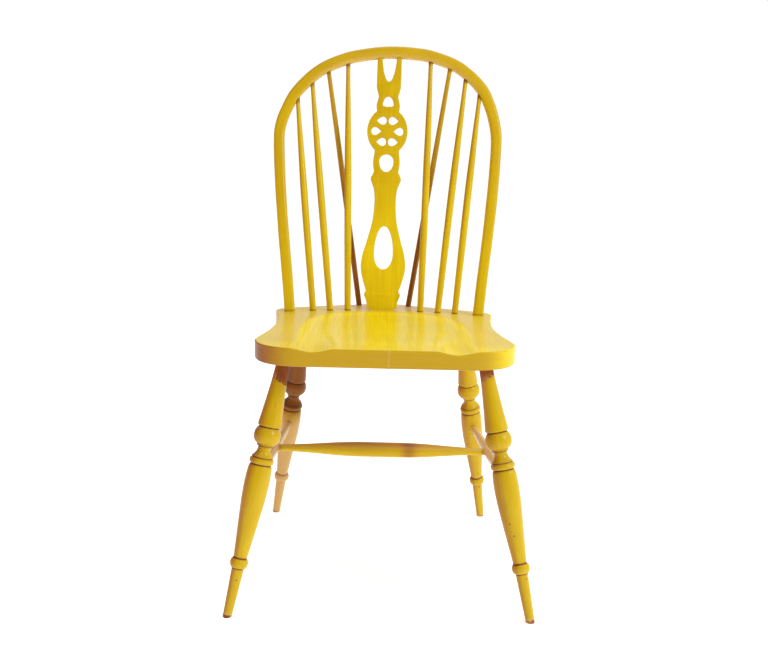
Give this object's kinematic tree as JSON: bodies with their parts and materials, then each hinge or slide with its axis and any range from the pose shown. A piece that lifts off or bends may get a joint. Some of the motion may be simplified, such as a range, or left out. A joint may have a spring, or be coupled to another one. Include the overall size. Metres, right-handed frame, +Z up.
{
  "type": "hoop back dining chair",
  "caption": "Painted wooden chair with a bent hoop back, slender spindles, a pierced wheel splat, rear braces, a saddled seat and turned splayed legs joined by stretchers.",
  "frame": {"origin": "middle of the footprint box, on the floor", "axes": "+Z up, -Y the chair's front, +X to the right of someone facing the chair"},
  "size_m": [0.5028, 0.4836, 0.9319],
  "materials": {
    "seat_paint": "satin yellow paint over wood, brushed, worn along edges",
    "back_paint": "satin golden yellow paint over wood",
    "base_paint": "satin golden yellow paint over turned wood, bare at the leg tops and feet",
    "hidden_wood": "bare hardwood",
    "wedge_wood": "bare hardwood"
  },
  "bodies": {
    "root": {"seat_board_left": "seat_paint", "seat_board_right": "seat_paint", "seat_dowel_front": "hidden_wood", "seat_dowel_middle": "hidden_wood", "seat_dowel_rear": "hidden_wood", "back_hoop": "back_paint", "hoop_wedge_left": "wedge_wood", "hoop_wedge_right": "wedge_wood", "back_splat": "back_paint", "spindle_left_outer": "back_paint", "spindle_left_middle": "back_paint", "spindle_left_inner": "back_paint", "spindle_right_outer": "back_paint", "spindle_right_middle": "back_paint", "spindle_right_inner": "back_paint", "brace_spindle_left": "back_paint", "brace_spindle_right": "back_paint", "leg_front_left": "base_paint", "leg_front_right": "base_paint", "leg_rear_left": "base_paint", "leg_rear_right": "base_paint", "side_stretcher_left": "base_paint", "side_stretcher_right": "base_paint", "cross_stretcher": "base_paint"}
  },
  "joints": []
}
